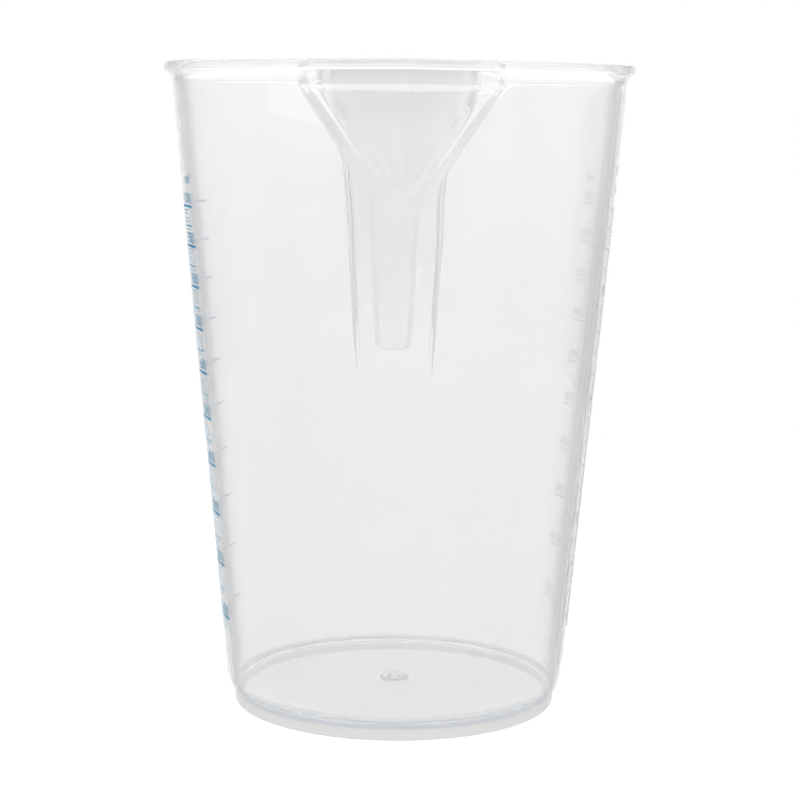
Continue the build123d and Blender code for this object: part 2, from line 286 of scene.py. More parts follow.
def add_node(tree, kind, settings=None, inputs=None, links=None):
    """Adds a node, sets its properties and input values, and links sockets or nodes' first outputs to it."""
    node = tree.nodes.new(kind)
    for name, value in (settings or {}).items():
        setattr(node, name, value)
    for name, value in (inputs or {}).items():
        node.inputs[name].default_value = value
    for name, source in (links or {}).items():
        socket = source.outputs[0] if isinstance(source, bpy.types.Node) else source
        tree.links.new(socket, node.inputs[name])
    return node


def new_material(name):
    """An empty node material."""
    material = bpy.data.materials.new(name)
    material.use_nodes = True
    material.node_tree.nodes.clear()
    return material


def moulded_polypropylene(scene, name, veil, painted_shade_colour, ior, proud_veil_and_shade):
    """Natural polypropylene, injection moulded: a clear plastic with a milky veil and a smooth skin.

    The veil is light that is scattered in the plastic. It is densest in the thick foot, and denser over the
    gate, in the spout and the root, and wherever a wall is seen along its length. Next to that a grey of
    painted shade darkens the clear plastic in a band just inside the outline, by how nearly edge on the wall
    is seen, but only on upright walls, where the real plastic looks dark from light turned back inside the
    wall again and again. What stands past the wall's cone gets both more veil and painted grey shade, by the
    last argument's share. The plastic's flow leaves low waves, which are highest in the spout.
    """
    colours, looks, shape = scene.cup_colours, scene.plastic_looks, Beaker(scene)
    material = new_material(name)
    tree = material.node_tree
    place = add_node(tree, "ShaderNodeTexCoord").outputs
    point = place["Object"]
    height = add_node(tree, "ShaderNodeSeparateXYZ", links={0: point}).outputs["Z"]
    level = add_node(tree, "ShaderNodeVectorMath", MULTIPLY, {1: (1, 1, 0)}, {0: point})
    around = add_node(tree, "ShaderNodeVectorMath", LENGTH, links={0: level}).outputs["Value"]
    from_gate = add_node(tree, "ShaderNodeVectorMath", LENGTH, links={0: point}).outputs["Value"]
    apart = add_node(tree, "ShaderNodeVectorMath", {"operation": "DISTANCE"}, {1: SPOUT_MIDDLE}, {0: point})
    facing = add_node(tree, "ShaderNodeLayerWeight", inputs={"Blend": 0.5}).outputs["Facing"]
    upwards = add_node(tree, "ShaderNodeSeparateXYZ", links={0: place["Normal"]}).outputs["Z"]
    flatness = add_node(tree, "ShaderNodeMath", {"operation": "ABSOLUTE"}, links={0: upwards})
    line = {"operation": "MULTIPLY_ADD"}
    past_cone = add_node(tree, "ShaderNodeMath", line, {1: -shape.slope}, {0: height, 2: around})

    # What changes evenly: the value that is read, two places on it, and the results at those places
    base, edge = shape.cup.wall_base_radius, (FOOT_RADIUS - FLOOR_EDGE, FOOT_RADIUS - FLOOR_EDGE / 2)
    ramps = {
        "waviness": (apart.outputs["Value"], SPOUT_NEAR, SPOUT_FAR, looks.spout_waves, looks.wall_waves),
        "upright": (flatness, UPRIGHT, LYING, 1.0, 0.0),
        "proud": (past_cone, base + PROUD_LOW, base + PROUD_HIGH, 0.0, proud_veil_and_shade),
        "low_down": (height, BODY_BOTTOM, FOOT_TOP, 0.0, looks.foot_veil),
        "at_edge": (around, *edge, 0.0, 1.0),
        "gate": (from_gate, GATE_FAR, GATE_NEAR, 0.0, looks.gate_veil),
        "edge_on": (facing, EDGE_START, EDGE_FULL, 0.0, looks.edge_veil),
        "above_foot": (height, FOOT_HEIGHT, FOOT_HEIGHT + FOOT_LINE, 0.0, 1.0),
        "body": (height, FOOT_TOP, BODY_BOTTOM, 0.0, 1.0),
    }
    ramp = {}
    for key, (value, low, high, first, last) in ramps.items():
        numbers = {"From Min": low, "From Max": high, "To Min": first, "To Max": last}
        smooth = SMOOTH if key == "proud" else None
        ramp[key] = add_node(tree, "ShaderNodeMapRange", smooth, numbers, {"Value": value})

    # Painted grey shade: a band just inside the outline of upright walls, and the spout and the root, which
    # stand proud of the wall's cone
    way = add_node(tree, "ShaderNodeFloatCurve", links={"Value": facing})
    curve = way.mapping.curves[0]
    curve.points[0].location, curve.points[1].location = PAINTED_LIMB_SHADE[0], PAINTED_LIMB_SHADE[-1]
    for step in PAINTED_LIMB_SHADE[1:-1]:
        curve.points.new(*step)
    way.mapping.update()
    limb_shade_share = add_node(tree, "ShaderNodeMath", MULTIPLY, links={0: way, 1: ramp["upright"]})
    grey = add_node(tree, "ShaderNodeMath", LARGER, links={0: limb_shade_share, 1: ramp["proud"]})
    tones = {6: linear(colours.plastic), 7: linear(painted_shade_colour)}
    tint = add_node(tree, "ShaderNodeMix", COLOURS, tones, {0: grey}).outputs[2]

    # Share of the veil
    foot = add_node(tree, "ShaderNodeMath", MULTIPLY, links={0: ramp["low_down"], 1: ramp["at_edge"]})
    thick = add_node(tree, "ShaderNodeMath", LARGER, links={0: foot, 1: ramp["gate"]})
    plain = add_node(tree, "ShaderNodeMath", {"operation": "ADD"}, {1: veil}, {0: ramp["proud"]})
    face_on = add_node(tree, "ShaderNodeMath", LARGER, links={0: thick, 1: plain})
    veiled = add_node(tree, "ShaderNodeMath", LARGER, links={0: face_on, 1: ramp["edge_on"]})

    # Colour of the veil: greyish in the foot, a bluish grey of painted shade along the floor's edge, and
    # white above
    tones = {6: linear(colours.foot), 7: linear(colours.floor_edge)}
    low_milk = add_node(tree, "ShaderNodeMix", COLOURS, tones, {0: ramp["above_foot"]}).outputs[2]
    white, places = {7: linear(colours.milk)}, {0: ramp["body"], 6: low_milk}
    milk = add_node(tree, "ShaderNodeMix", COLOURS, white, places).outputs[2]

    # The low waves bend what is seen through the clear plastic
    size = {"Scale": 1 / looks.flow, "Detail": 1.0}
    flow = add_node(tree, "ShaderNodeTexNoise", inputs=size, links={"Vector": point})
    waves = add_node(
        tree,
        "ShaderNodeBump",
        inputs={"Distance": looks.wave},
        links={"Height": flow.outputs["Fac"], "Strength": ramp["waviness"]},
    )
    clear = add_node(
        tree,
        "ShaderNodeBsdfPrincipled",
        inputs={"Roughness": looks.roughness, "IOR": ior, "Transmission Weight": 1.0},
        links={"Base Color": tint, "Normal": waves},
    )
    thrown_back = add_node(tree, "ShaderNodeBsdfDiffuse", links={"Color": milk})
    let_through = add_node(tree, "ShaderNodeBsdfTranslucent", links={"Color": milk})
    scattered = add_node(tree, "ShaderNodeMixShader", None, HALF, {1: thrown_back, 2: let_through})
    plastic = add_node(tree, "ShaderNodeMixShader", links={0: veiled, 1: clear, 2: scattered})
    add_node(tree, "ShaderNodeOutputMaterial", links={"Surface": plastic})
    return material


def screen_ink(colours):
    """Screen-printed ink: a thin matt film. Light comes through it, so it shows from inside as well."""
    material = new_material("screen_printed_ink")
    tree = material.node_tree
    blue = linear(colours.ink)
    film = add_node(
        tree,
        "ShaderNodeBsdfPrincipled",
        inputs={"Base Color": blue, "Roughness": 0.6, "IOR": 1.5, "Specular IOR Level": 0.08},
    )
    through = add_node(tree, "ShaderNodeBsdfTranslucent", inputs={"Color": blue})
    ink = add_node(tree, "ShaderNodeMixShader", None, HALF, {1: film, 2: through})
    add_node(tree, "ShaderNodeOutputMaterial", links={"Surface": ink})
    return material


def studio_paper(colours):
    """White paper under the cup: it takes the cup's faint shadow, and is plain white through the plastic."""
    material = new_material("white_paper")
    tree = material.node_tree
    path = add_node(tree, "ShaderNodeLightPath").outputs
    looks = {"Base Color": linear(colours.floor), "Roughness": 0.9}
    glow = {"Emission Color": WHITE, "Emission Strength": PAPER_GLOW}
    paper = add_node(tree, "ShaderNodeBsdfPrincipled", inputs={**looks, **glow})
    plain = add_node(tree, "ShaderNodeEmission", inputs={"Color": WHITE, "Strength": 1.0})
    seen = add_node(
        tree, "ShaderNodeMixShader", links={0: path["Is Transmission Ray"], 1: paper, 2: plain}
    )
    add_node(tree, "ShaderNodeOutputMaterial", links={"Surface": seen})
    return material


def studio_room(tree):
    """White room to the camera and through the plastic.

    What mirrors it sees tall white screens with slightly grey gaps between them, and a greyer ceiling.
    """
    path = add_node(tree, "ShaderNodeLightPath").outputs
    place = add_node(tree, "ShaderNodeTexCoord").outputs
    direction = add_node(tree, "ShaderNodeSeparateXYZ", links={0: place["Generated"]}).outputs
    turn = add_node(
        tree, "ShaderNodeMath", {"operation": "ARCTAN2"}, links={0: direction["Y"], 1: direction["X"]}
    )
    turns = add_node(tree, "ShaderNodeMath", MULTIPLY, {1: SCREENS}, {0: turn})
    wave = add_node(tree, "ShaderNodeMath", {"operation": "COSINE"}, links={0: turns})
    shades = []
    for value, edge, first, last in (
        (wave, SCREEN_EDGE, GAP_LEVEL, 1.0),
        (direction["Z"], CEILING_EDGE, 1.0, CEILING_LEVEL),
    ):
        numbers = {"From Min": edge[0], "From Max": edge[1], "To Min": first, "To Max": last}
        shades.append(add_node(tree, "ShaderNodeMapRange", SMOOTH, numbers, {"Value": value}))
    room = add_node(tree, "ShaderNodeMath", MULTIPLY, links=dict(enumerate(shades)))
    rays = {0: path["Is Camera Ray"], 1: path["Is Transmission Ray"]}
    seen = add_node(tree, "ShaderNodeMath", LARGER, links=rays)
    level = add_node(tree, "ShaderNodeMath", LARGER, links={0: seen, 1: room})
    sky = add_node(tree, "ShaderNodeBackground", inputs={"Color": WHITE}, links={"Strength": level})
    add_node(tree, "ShaderNodeOutputWorld", links={"Surface": sky})


def smooth_step(value, low, high):
    """0 below low, 1 above high, and 3t^2 - 2t^3 between."""
    t = np.clip((value - low) / (high - low), 0, 1)
    return t * t * (3 - 2 * t)


def soft_max(a, b, blend):
    """The larger of two surfaces, plus blend/4 (1 - distance/blend)^2 where they are that near."""
    near = np.clip(1 - np.abs(a - b) / blend, 0, None)
    return np.maximum(a, b) + blend / 4 * near**2


def soft_min(a, b, blend):
    """The smaller of two surfaces, blended in the same way."""
    return -soft_max(-a, -b, blend)


def grid_faces(rows, columns):
    """Quads of a grid of points, as one array. Each row's last point is joined to its first."""
    index = np.arange(rows * columns).reshape(rows, columns)
    index = np.hstack([index, index[:, :1]])
    quads = np.stack([index[:-1, :-1], index[:-1, 1:], index[1:, 1:], index[1:, :-1]], axis=-1)
    return quads.reshape(-1, 4)


def new_piece(name, points, faces, material, replaced, slot="natural_plastic"):
    """Object from points and faces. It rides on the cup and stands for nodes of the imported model."""
    mesh = bpy.data.meshes.new(name)
    mesh.from_pydata(np.asarray(points, dtype=float).tolist(), [], faces)
    mesh.validate()
    work = bmesh.new()
    work.from_mesh(mesh)
    bmesh.ops.recalc_face_normals(work, faces=work.faces)
    work.to_mesh(mesh)
    work.free()
    mesh.shade_smooth()
    mesh.set_sharp_from_angle(angle=SHARP)
    mesh.materials.append(bpy.data.materials[material])
    piece = bpy.data.objects.new(name, mesh)
    bpy.context.scene.collection.objects.link(piece)
    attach(piece, "root")
    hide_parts(*replaced)


def plan_points(angle, radius, z):
    """Points at a height. The angle is counted from the spout."""
    return np.stack([radius * np.sin(angle), -radius * np.cos(angle), np.full(angle.shape, z)], axis=-1)


class Beaker:
    """The beaker's outlines. Angles are counted from the spout, at 0, to the handle, at pi."""

    def __init__(self, scene):
        self.cup = scene.beaker_sizes
        self.spout = scene.spout_sizes
        self.handle = scene.handle_sizes
        self.slope = (self.cup.wall_top_radius - self.cup.wall_base_radius) / CUP_HEIGHT

    def cone(self, z, inset):
        """Radius of the plain wall: base radius + slope * height."""
        return self.cup.wall_base_radius + self.slope * z - inset * self.cup.wall

    def spout_planes(self, z, inset):
        """Nose distance, side run and side distance of the spout: lines in height, upright at the top."""
        s = self.spout
        side = s.half_width - s.nose_half_width
        shoulder = math.sqrt(self.cone(COLLAR_BOTTOM, 0) ** 2 - s.half_width**2)
        rise = np.minimum((z - s.tip) / (COLLAR_BOTTOM - s.tip), 1)
        nose = self.cone(s.tip, 0) + (s.nose - self.cone(s.tip, 0)) * rise
        run = (s.tip_setback + (s.nose - shoulder - s.tip_setback) * rise) / side
        distance = nose + run * s.nose_half_width - inset * s.wall * np.sqrt(1 + run**2)
        return nose - inset * s.wall, run, distance

    def root_outline(self, z, inset):
        """Back radius and half width of the handle's root: lines in height that turn at the neck and rim."""
        h = self.handle
        rise = np.minimum((z - ROOT_END) / (COLLAR_BOTTOM - ROOT_END), 1)
        back = self.cone(ROOT_END, 0) + (ROOT_RADIUS - self.cone(ROOT_END, 0)) * rise
        # The turns at the neck and the flare are cut off, from a little below each to a little above it
        below, above, end = 3 * MM, 2 * MM, 2.5 * MM
        heights = [ROOT_END, h.root_neck - below, h.root_neck + above, h.flare - above, h.flare + end]
        neck_slope = (h.root_neck_half_width - h.root_end_half_width) / (h.root_neck - ROOT_END)
        flare_slope = (ROOT_FLARE_HALF_WIDTH - h.root_neck_half_width) / (h.flare - h.root_neck)
        widths = [
            h.root_end_half_width,
            h.root_neck_half_width - below * neck_slope,
            h.root_neck_half_width + above * flare_slope,
            ROOT_FLARE_HALF_WIDTH - above * flare_slope,
            ROOT_FLARE_HALF_WIDTH,
        ]
        return back - inset * self.cup.wall, np.interp(z, heights, widths) - inset * self.cup.wall

    def radius(self, angle, z, inset):
        """Plan radius: the wall's circle joined softly with the spout's prow and the handle's root.

        A plane at a distance d, square to the angle p, is met at the radius d / cos(angle - p).
        """
        cone = self.cone(z, inset) + 0 * angle
        nose, run, distance = self.spout_planes(z, inset)
        off = np.minimum(np.abs(angle), SPOUT_SECTOR)
        side = distance / (np.cos(off) + run * np.sin(off))
        prow = soft_min(nose / np.cos(off), side, self.spout.nose_round)
        prow = np.where(np.abs(angle) < SPOUT_SECTOR, prow, 0)
        back, half_width = self.root_outline(z, inset)
        behind = np.maximum(np.pi - np.abs(angle), 1e-4)
        side = half_width / np.sin(np.minimum(behind, np.pi / 2))
        root = np.where(behind < ROOT_SECTOR, soft_min(back + 0 * angle, side, self.handle.root_corner), 0)
        # The root's blend grows with its height, over its lower end
        blend = self.handle.root_blend * np.clip((z - ROOT_END) / (40 * MM), 0.15, 1)
        edge = self.spout.edge_blend if inset else self.spout.edge_fillet
        return soft_max(soft_max(cone, prow, edge), root, blend)

    def columns(self, z, inset):
        """Angles of the grid's columns at a height, close together along the spout's and the root's edges."""
        cone = self.cone(z, inset)
        nose, run, distance = self.spout_planes(z, inset)
        back, half_width = self.root_outline(z, inset)
        square = math.atan(run)
        reach = min(distance / math.hypot(1, run) / cone, 1)
        corner = math.atan(self.spout.nose_half_width / max(nose, cone))
        shoulder = max(square - math.acos(reach), corner + math.radians(1.6))
        flank = math.asin(half_width / cone)
        behind = min(math.asin(half_width / max(back, cone)), flank - math.radians(0.3))
        # Where each stretch of columns starts, and how many it has
        stops = [
            (0, 4),
            (corner, 20),
            (shoulder, 8),
            (shoulder + math.radians(5), 100),
            (math.pi - flank - math.radians(4), 10),
            (math.pi - flank, 10),
            (math.pi - behind, 6),
            (math.pi - behind + math.radians(2.5), 12),
        ]
        ends = [stop for stop, _ in stops[1:]] + [math.pi]
        half = np.concatenate(
            [np.linspace(stop, end, count, endpoint=False) for (stop, count), end in zip(stops, ends)]
        )
        return np.concatenate([half, [math.pi], -half[:0:-1]])

    def ring(self, z, inset):
        """Points of the outline at a height."""
        angle = self.columns(z, inset)
        return plan_points(angle, self.radius(angle, z, inset), z)

    def circle(self, radius, z):
        """Points of a circle at a height, on the same columns as the base of the wall."""
        return plan_points(self.columns(self.cup.base_curve, 0), radius, z)


def set_out(ring, width, z):
    """A ring moved out square to itself by a width, at another height."""
    along = np.roll(ring, -1, axis=0) - np.roll(ring, 1, axis=0)
    out = np.stack([along[:, 1], -along[:, 0], 0 * along[:, 0]], axis=-1)
    out /= np.linalg.norm(out, axis=1, keepdims=True)
    moved = ring + out * np.reshape(width, (-1, 1))
    moved[:, 2] = z
    return moved


def quarter(count, start, end):
    """Cosines and sines of the angles from start to end, in degrees."""
    turn = np.radians(np.linspace(start, end, count))
    return zip(np.cos(turn), np.sin(turn))


def beaker_rings(shape):
    """Rings of the closed surface, from under the floor round the foot, up, over the lip and down."""
    cup, bottom = shape.cup, shape.cup.foot_round
    # Underside with the gate's recess, as radius and height: the cut sprue, the recess's top and its edge
    stub, gate, deep = cup.gate_stub, cup.gate, FOOT_HEIGHT + cup.gate_depth
    sprue = [(0.35 * stub, FOOT_HEIGHT), (stub, FOOT_HEIGHT), (1.2 * stub, deep)]
    recess = [(0.88 * gate, deep), (gate, FOOT_HEIGHT), (2 * gate, FOOT_HEIGHT)]
    inside, corner, edge = FOOT_RADIUS - cup.foot_width, 0.6 * MM, 0.3 * MM
    flat = [(0.5 * inside, FOOT_HEIGHT), (0.8 * inside, FOOT_HEIGHT), (inside - corner, FOOT_HEIGHT)]
    # Foot
    foot = [(inside, FOOT_HEIGHT - corner), (inside, bottom)]
    foot += [(inside + bottom * (1 + c), bottom * (1 + s)) for c, s in quarter(4, 180, 270)]
    foot += [(FOOT_RADIUS + bottom * (c - 1), bottom * (1 + s)) for c, s in quarter(4, 270, 360)]
    foot.append((FOOT_RADIUS, FOOT_HEIGHT - edge))
    # Base curve: the circle that touches the wall's line and reaches the foot
    top = np.array([shape.cone(cup.base_curve, 0), cup.base_curve])
    low = np.array([FOOT_RADIUS, FOOT_HEIGHT])
    along = np.array([-shape.slope, -1]) / math.hypot(shape.slope, 1)
    inward = np.array([along[1], -along[0]])
    chord = low - top
    bend_radius = (chord @ chord) / (2 * chord @ inward)
    centre = top + bend_radius * inward
    sweep = 2 * math.asin(np.linalg.norm(chord) / (2 * abs(bend_radius)))
    for t in np.linspace(1, 0, 9)[:-1]:
        c, s = math.cos(t * sweep), math.sin(t * sweep)
        foot.append(centre - bend_radius * inward * c + abs(bend_radius) * along * s)
    rings = [shape.circle(radius, z) for radius, z in [*sprue, *recess, *flat, *foot]]
    # Outer wall and collar
    spout_start = shape.spout.tip - 6 * MM
    below = np.linspace(cup.base_curve, spout_start, 46)[:-1]
    for z in [*below, *np.linspace(spout_start, COLLAR_BOTTOM, 52)]:
        rings.append(shape.ring(z, 0))
    # The collar fades out towards the spout and the handle's root, over a few hundredths of a radian
    angle = shape.columns(COLLAR_BOTTOM, 0)
    flank = math.asin(ROOT_FLARE_HALF_WIDTH / shape.cone(COLLAR_BOTTOM, 0))
    shoulder = math.asin(shape.spout.half_width / shape.cone(COLLAR_BOTTOM, 0))
    away = smooth_step(np.abs(angle), shoulder - 0.01, shoulder + 0.04)
    away *= 1 - smooth_step(np.abs(angle), math.pi - flank - 0.05, math.pi - flank)
    for t in np.linspace(0, 1, 9)[1:]:
        z = COLLAR_BOTTOM + t * (LIP_BOTTOM - COLLAR_BOTTOM)
        rings.append(set_out(shape.ring(z, 0), cup.collar_width * t**FLARE * away, z))
    # Lip
    wall_line = shape.ring(CUP_HEIGHT, 0)
    under, over = cup.lip_under_round, cup.lip_top_round
    for c, s in quarter(4, 270, 360):
        rings.append(set_out(wall_line, cup.lip_overhang + under * (c - 1), LIP_BOTTOM + under * (1 + s)))
    for c, s in quarter(7, 0, 90):
        rings.append(set_out(wall_line, cup.lip_overhang + over * (c - 1), CUP_HEIGHT + over * (s - 1)))
    inner_line = shape.ring(CUP_HEIGHT, 1)
    rim = cup.lip_inner_round
    for c, s in quarter(5, 90, 180):
        rings.append(set_out(inner_line, rim * (1 + c), CUP_HEIGHT + rim * (s - 1)))
    # Inner wall, corner and floor
    floor_top = FOOT_HEIGHT + cup.floor
    start = floor_top + cup.corner
    for z in np.linspace(CUP_HEIGHT - 1.5 * rim, start, 86):
        rings.append(shape.ring(z, 1))
    side, corner = shape.cone(start, 1), cup.corner
    floor = [(side + corner * (c - 1), floor_top + corner * (1 + s)) for c, s in quarter(7, 0, -90)]
    floor += [(part * side, floor_top) for part in (0.8, 0.55, 0.3, 0.15)]
    for t in np.linspace(0, 1, 9):
        floor.append((gate * (1.15 - 0.55 * t), floor_top + cup.gate_swelling * smooth_step(t, 0, 1)))
    floor.append((0.1 * gate, GATE_TOP))
    return np.array(rings + [shape.circle(radius, z) for radius, z in floor])


class CUP_OT_finishes(Operator):
    """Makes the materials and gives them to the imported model's nodes"""

    bl_idname = "cup.finishes"
    bl_label = "Finishes"

    def execute(self, context):
        scene = context.scene
        colours, looks = scene.cup_colours, scene.plastic_looks
        # Name, scattered share, colour of the painted grey shade, IOR, and more veil and painted shade where
        # it stands proud
        plastics = (
            # Slightly milky, so that the far wall, the handle and both scales show softly through it
            ("moulded_natural_polypropylene", looks.body_veil, colours.depth, looks.ior, looks.proud),
            # Thin and without the painted grey shade, so that the hook handle looks clearer than the beaker
            ("thin_moulded_polypropylene", looks.handle_veil, colours.plastic, looks.ior, 0.0),
            # Bends light hardly at all, so that of the panel only its edges show
            ("polypropylene_skin", looks.skin_veil, colours.plastic, looks.skin_ior, looks.proud),
            # Frosted by the mould's texture, so that the raised marks can be read
            ("textured_moulded_polypropylene", looks.mark_veil, colours.depth, looks.ior, looks.proud),
        )
        natural = [moulded_polypropylene(scene, *plastic) for plastic in plastics][0]
        slots = {"natural_plastic": natural, "blue_ink": screen_ink(colours)}
        for part in frame["record"]["subparts"]:
            mesh = frame["nodes"][part["node"]].data
            mesh.materials.clear()
            mesh.materials.append(slots[part["material_slot"]])
        return {"FINISHED"}


class CUP_OT_beaker(Operator):
    """Builds the moulded beaker: wall, floor, foot, lip, collar, spout and the handle's root"""

    bl_idname = "cup.beaker"
    bl_label = "Moulded Beaker"

    def execute(self, context):
        shape = Beaker(context.scene)
        rings = beaker_rings(shape)
        rows, columns = rings.shape[:2]
        points = rings.reshape(-1, 3)
        faces = grid_faces(rows, columns).tolist()
        middle = [[0, 0, FOOT_HEIGHT], [0, 0, GATE_TOP]]
        below, above = len(points), len(points) + 1
        first, last = np.arange(columns), (rows - 1) * columns + np.arange(columns)
        faces += [[below, int(b), int(a)] for a, b in zip(first, np.roll(first, -1))]
        faces += [[above, int(a), int(b)] for a, b in zip(last, np.roll(last, -1))]
        new_piece(
            "beaker",
            np.vstack([points, middle]),
            faces,
            "moulded_natural_polypropylene",
            ["cup_wall", "cup_floor", "foot_ring", "rim_lip", "rim_collar", "pour_spout", "handle_root"],
        )
        return {"FINISHED"}


def grip_outline(sizes, y, z):
    """Half width of the grip: the smaller of its front outline, by height, and its plan taper, by depth."""
    arc, edge = 3.5 * MM, 1.0 * MM
    neck_slope = (sizes.grip_neck_half_width - sizes.grip_end_half_width) / (sizes.grip_neck - GRIP_END)
    flare_slope = (GRIP_HALF_WIDTH - sizes.grip_neck_half_width) / (sizes.flare - sizes.grip_neck)
    low = sizes.grip_end_half_width + neck_slope * (z - GRIP_END)
    high = sizes.grip_neck_half_width + flare_slope * (z - sizes.grip_neck)
    front = soft_min(soft_max(low, high, arc), GRIP_HALF_WIDTH + 0 * z, arc)
    start = ROOT_RADIUS - sizes.root_reach
    taper = sizes.grip_shoulder_half_width - GRIP_HALF_WIDTH
    plan = GRIP_HALF_WIDTH + taper * (y - start) / (GRIP_OUTER - start)
    width = np.minimum(soft_min(front, plan, edge), GRIP_HALF_WIDTH)
    end_round = sizes.grip_end_round
    below = np.clip(1 - (z - GRIP_END) / end_round, 0, 1)
    return width - end_round * (1 - np.sqrt(1 - below**2))


def hook_line(start, corner, end, radius, counts):
    """Straight run, arc and straight run as points of (y, z). The arc touches both runs."""
    into = (corner - start) / np.linalg.norm(corner - start)
    out = (end - corner) / np.linalg.norm(end - corner)
    half_turn = math.acos(into @ out) / 2
    reach = radius * math.tan(half_turn)
    first, last = corner - reach * into, corner + reach * out
    bisector = (out - into) / np.linalg.norm(out - into)
    centre = corner + bisector * radius / math.cos(half_turn)
    angle = np.linspace(0, 2 * half_turn, counts[1])[:, None]
    arc = centre + np.cos(angle) * (first - centre) + np.sin(angle) * radius * into
    run_in = np.linspace(0, 1, counts[0], endpoint=False)[:, None] * (first - start) + start
    run_out = np.linspace(0, 1, counts[2] + 1)[1:, None] * (end - last) + last
    return np.vstack([run_in, arc, run_out])


class CUP_OT_grip(Operator):
    """Builds the hook handle: a tray of U section, carried along the hook and closed at its lower end"""

    bl_idname = "cup.grip"
    bl_label = "Hook Handle"

    def execute(self, context):
        sizes = context.scene.handle_sizes
        wall, edge = sizes.grip_wall, sizes.grip_edge
        sunk = 0.05 * MM  # the grip reaches this far into what carries it
        start = ROOT_RADIUS + context.scene.beaker_sizes.lip_overhang - sunk
        counts = (14, 20, 70)  # stations on the top, round the shoulder and down the back
        path = [(start, CUP_HEIGHT), (GRIP_OUTER, CUP_HEIGHT), (GRIP_OUTER - sizes.grip_lean, GRIP_END)]
        outer = hook_line(*np.array(path), sizes.grip_shoulder, counts)
        flange, arch = GRIP_OUTER - sizes.grip_flange, CUP_HEIGHT - sizes.grip_arch
        path = [(ROOT_RADIUS - sunk, arch), (flange, arch), (flange - sizes.grip_lean, GRIP_END)]
        inner = hook_line(*np.array(path), sizes.grip_arch_round, counts)
        depth = np.linalg.norm(inner - outer, axis=1)[:, None]
        width = grip_outline(sizes, outer[:, 1:] * 0 + GRIP_OUTER, outer[:, 1:])
        fade = 0.3 * MM  # the tray's floor rises to its edge over this far, which closes the lower end
        solid = smooth_step(outer[:, 1:], GRIP_END + wall + fade, GRIP_END + wall - fade)
        turn = np.radians(np.linspace(0, 90, 7))[None, :]
        tip = np.radians(np.linspace(0, 180, 9))[None, :]
        inside = edge - wall + 0.4 * MM
        # Half of the section, from the middle of the outer face round the free edge to the tray's middle:
        # each point has a depth below the outer face and a distance inwards from the side
        share = np.linspace(0, 1, 6)[None, :]
        parts = [
            (0, (width - edge) * (1 - share) + edge),
            (edge * (1 - np.cos(turn)), edge * (1 - np.sin(turn))),
            (edge + (depth - wall - edge) * share, 0),
            (depth - wall / 2 + wall / 2 * np.sin(tip), wall / 2 * (1 - np.cos(tip))),
            (depth - wall + (wall + inside - depth + wall) * share, wall),
            (wall + inside * (1 - np.sin(turn)), wall + inside * (1 - np.cos(turn))),
            (wall, (wall + inside) + (width - wall - inside) * share),
        ]
        parts = [np.broadcast_arrays(*part, depth)[:2] for part in parts]
        below = np.hstack([part[0] for part in parts])
        aside = np.hstack([part[1] for part in parts])
        in_tray = [np.full(part[0].shape[1], index >= 4) for index, part in enumerate(parts)]
        hollow = np.hstack(in_tray)[None, :]
        below = np.where(hollow, below + (depth - below) * solid, below)
        place = outer[:, None, :] + (inner - outer)[:, None, :] * (below / depth)[:, :, None]
        side = np.maximum(grip_outline(sizes, place[:, :, 0], place[:, :, 1]) - aside, 0)
        half = np.stack([side, place[:, :, 0], place[:, :, 1]], axis=-1)
        other = half[:, ::-1] * np.array([-1, 1, 1])
        rings = np.concatenate([half, other], axis=1)
        rows, columns = rings.shape[:2]
        faces = grid_faces(rows, columns).tolist()
        # Both ends are closed by strips across the half sections
        last = (rows - 1) * columns
        for base, order in ((0, 1), (last, -1)):
            for index in range(half.shape[1] - 1):
                strip = [index, index + 1, columns - 2 - index, columns - 1 - index]
                faces.append([base + corner for corner in strip[::order]])
        points = rings.reshape(-1, 3)
        material = "thin_moulded_polypropylene"
        new_piece("hook_handle", points, faces, material, ["handle_grip"])
        return {"FINISHED"}


def mark_height(scene, step):
    """Height of a step: the volume below it grows evenly, and goes with the cube of the inner radius."""
    cup, scale = scene.beaker_sizes, scene.scale_sizes
    slope = (cup.wall_top_radius - cup.wall_base_radius) / CUP_HEIGHT
    inside = cup.wall_base_radius - cup.wall
    zero, full = (inside + slope * scale.zero_mark) ** 3, (inside + slope * scale.full_mark) ** 3
    return ((zero + (full - zero) * np.asarray(step) / scale.steps) ** (1 / 3) - inside) / slope


def on_wall(scene, side, angle, z, out):
    """Points on the wall: side is -1 or 1, the angle counts from the cup's side towards the handle."""
    radius = Beaker(scene).cone(z, 0) + out
    return np.stack([side * radius * np.cos(angle), radius * np.sin(angle), z + 0 * angle + 0 * out], axis=-1)


def wall_strips(scene, side, low, high, front, back, inner, outer, count):
    """Bands on the wall as closed strips: a section of four corners, carried round the wall.

    Low, high, front and back are arrays with one value for each band.
    """
    low, high = low[:, None, None], high[:, None, None]
    along = np.linspace(0, 1, count)[None, :, None]
    angle = front[:, None, None] + (back - front)[:, None, None] * along
    rise = np.array([0, 0, 1, 1])[None, None, :]
    out = np.array([inner, outer, outer, inner])[None, None, :]
    points = on_wall(scene, side, angle + 0 * rise, low + (high - low) * rise + 0 * angle, out + 0 * angle)
    points = points.reshape(-1, 3)
    end = 4 * count - np.arange(1, 5)
    band = np.vstack([grid_faces(count, 4), [np.arange(4)], [end]])
    faces = (band[None] + 4 * count * np.arange(len(low))[:, None, None]).reshape(-1, 4)
    return points, faces.tolist()


